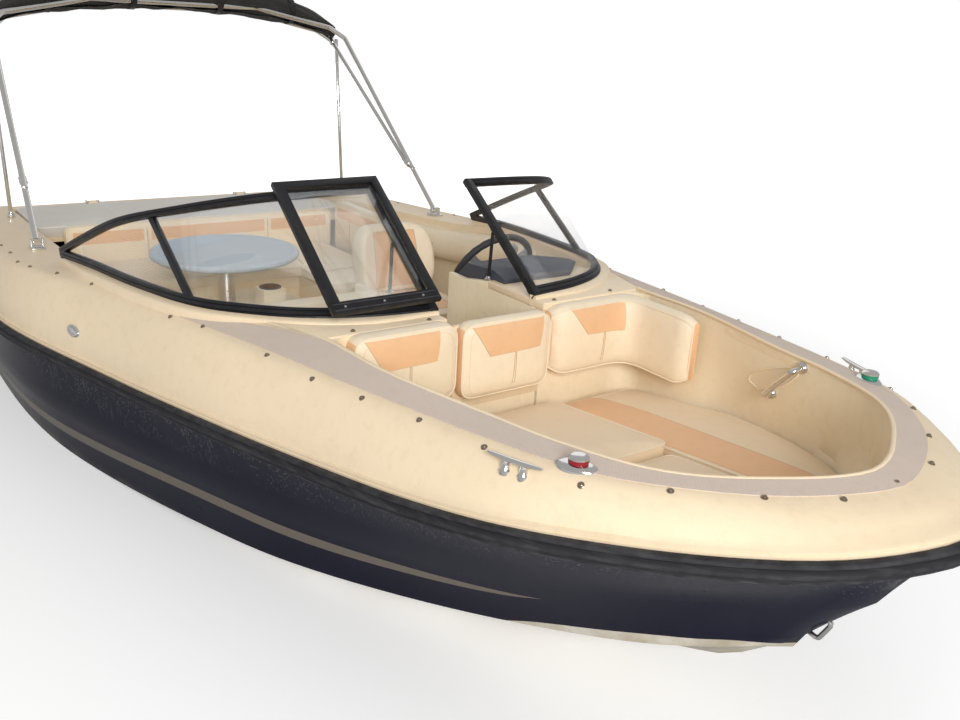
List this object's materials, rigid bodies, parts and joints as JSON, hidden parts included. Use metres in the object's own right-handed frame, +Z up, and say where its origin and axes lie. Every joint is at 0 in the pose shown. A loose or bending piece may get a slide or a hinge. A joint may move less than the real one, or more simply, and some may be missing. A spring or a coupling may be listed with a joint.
{
  "type": "open-bow runabout speedboat",
  "caption": "Open-bow speedboat with walk-through windshield, seated bow well, cockpit with helm and table, folded canvas top, swim platform and stern drive.",
  "frame": {"origin": "on the floating waterline, on the centreline, 2.10 m forward of the transom", "axes": "+X to the bow, +Y to the side away from the camera (the helm side), +Z up"},
  "size_m": [5.349, 2.414, 2.5562],
  "materials": {
    "hull_gelcoat": "gloss, chalky",
    "rub_rail_rubber": "worn, ribbed",
    "cream_gelcoat": "gloss",
    "nonskid": "fine grain",
    "vinyl_cream": "soft vinyl, satin",
    "vinyl_pale": "soft vinyl, satin",
    "dash_plastic": "fine grain",
    "black_frame": "satin",
    "tinted_glass": "clear, lightly tinted",
    "table_white": "gloss",
    "brushed_metal": "brushed",
    "stainless": "polished",
    "lens_green": "clear moulded",
    "lens_red": "clear moulded",
    "drive_black": "satin",
    "engine_iron": "painted",
    "aluminium_prop": "painted",
    "canvas_black": "woven"
  },
  "bodies": {
    "boat": {"hull": "hull_gelcoat", "rub_rail": "rub_rail_rubber", "deck": "cream_gelcoat", "bow_liner": "cream_gelcoat", "bow_rim_bead": "cream_gelcoat", "helm_console": "cream_gelcoat", "companion_console": "cream_gelcoat", "cockpit_liner": "cream_gelcoat", "seat_bases": "cream_gelcoat", "cup_holder_box": "cream_gelcoat", "swim_platform": "cream_gelcoat", "engine_bulkhead": "cream_gelcoat", "nonskid_strip": "nonskid", "bow_cushion_port": "vinyl_cream", "bow_cushion_aft": "vinyl_cream", "bow_cushion_forward": "vinyl_cream", "bow_backrest_port": "vinyl_cream", "bow_backrest_starboard": "vinyl_cream", "side_bolsters": "vinyl_cream", "bench_cushion": "vinyl_cream", "bench_backrest": "vinyl_cream", "lounge_cushion": "vinyl_cream", "lounge_backrest": "vinyl_cream", "instrument_panel": "dash_plastic", "dash_hood": "dash_plastic", "steering_column": "dash_plastic", "throttle_box": "dash_plastic", "windshield_frame": "black_frame", "windshield_struts": "black_frame", "windshield_glass": "tinted_glass", "table_top": "table_white", "table_pedestal": "brushed_metal", "helm_pedestal": "brushed_metal", "cleats": "stainless", "bow_grab_handles": "stainless", "bow_eye": "stainless", "bimini_mounts": "stainless", "nav_light_bases": "stainless", "nav_lens_port": "lens_green", "nav_lens_starboard": "lens_red", "transom_shield": "drive_black", "engine_block": "engine_iron"},
    "bow_door": {"bow_door": "cream_gelcoat", "bow_backrest_door": "vinyl_cream"},
    "windshield_door": {"windshield_door_frame": "black_frame", "windshield_door_glass": "tinted_glass"},
    "steering_wheel": {"steering_wheel": "dash_plastic"},
    "throttle": {"throttle_lever": "brushed_metal"},
    "helm_seat": {"helm_swivel_plate": "brushed_metal", "helm_seat_cushion": "vinyl_cream", "helm_seat_back": "vinyl_cream"},
    "engine_lid": {"engine_hatch": "cream_gelcoat", "sunpad": "vinyl_pale"},
    "drive_bracket": {"steering_bracket": "drive_black"},
    "drive": {"drive_leg": "drive_black"},
    "propeller": {"propeller": "aluminium_prop"},
    "bimini": {"bimini_bows": "stainless", "bimini_canvas": "canvas_black"},
    "bimini_struts": {"bimini_struts": "stainless"}
  },
  "joints": [
    {"name": "bow_door_hinge", "type": "hinge", "parent": "boat", "child": "bow_door", "pos_m": [1.11, -0.1775, 0.635], "axis": [0, 0, 1], "range_deg": [0, 88]},
    {"name": "windshield_door_hinge", "type": "hinge", "parent": "boat", "child": "windshield_door", "pos_m": [1.052, -0.182, 0.818], "axis": [-0.805, 0.002, 0.5933], "range_deg": [0, 180]},
    {"name": "wheel_turn", "type": "hinge", "parent": "boat", "child": "steering_wheel", "pos_m": [0.398, 0.5, 0.69], "axis": [-0.8933, 0, 0.4495], "range_deg": [-540, 540]},
    {"name": "throttle_tilt", "type": "hinge", "parent": "boat", "child": "throttle", "pos_m": [0.24, 0.757, 0.6], "axis": [0, 1, 0], "range_deg": [-55, 45]},
    {"name": "helm_seat_swivel", "type": "hinge", "parent": "boat", "child": "helm_seat", "pos_m": [-0.12, 0.45, 0.36], "axis": [0, 0, 1], "continuous": true},
    {"name": "engine_lid_hinge", "type": "hinge", "parent": "boat", "child": "engine_lid", "pos_m": [-2.043, 0, 0.602], "axis": [0, -1, 0], "range_deg": [0, 60]},
    {"name": "drive_steer", "type": "hinge", "parent": "boat", "child": "drive_bracket", "pos_m": [-2.185, 0, 0.02], "axis": [0, 0, 1], "range_deg": [-30, 30]},
    {"name": "drive_tilt", "type": "hinge", "parent": "drive_bracket", "child": "drive", "pos_m": [-2.29, 0, 0.11], "axis": [0, 1, 0], "range_deg": [-4, 35]},
    {"name": "propeller_spin", "type": "hinge", "parent": "drive", "child": "propeller", "pos_m": [-2.652, 0, -0.56], "axis": [1, 0, 0], "continuous": true},
    {"name": "bimini_fold", "type": "hinge", "parent": "boat", "child": "bimini", "pos_m": [-0.725, 0, 0.704], "axis": [0, 1, 0], "range_deg": [0, 44]},
    {"name": "bimini_strut_fold", "type": "hinge", "parent": "bimini", "child": "bimini_struts", "pos_m": [-1.715, 0, 1.49], "axis": [0, 1, 0], "range_deg": [-35, 0]}
  ],
  "couplings": [
    {"joint": "wheel_turn", "follows": "drive_steer", "ratio": -18}
  ]
}
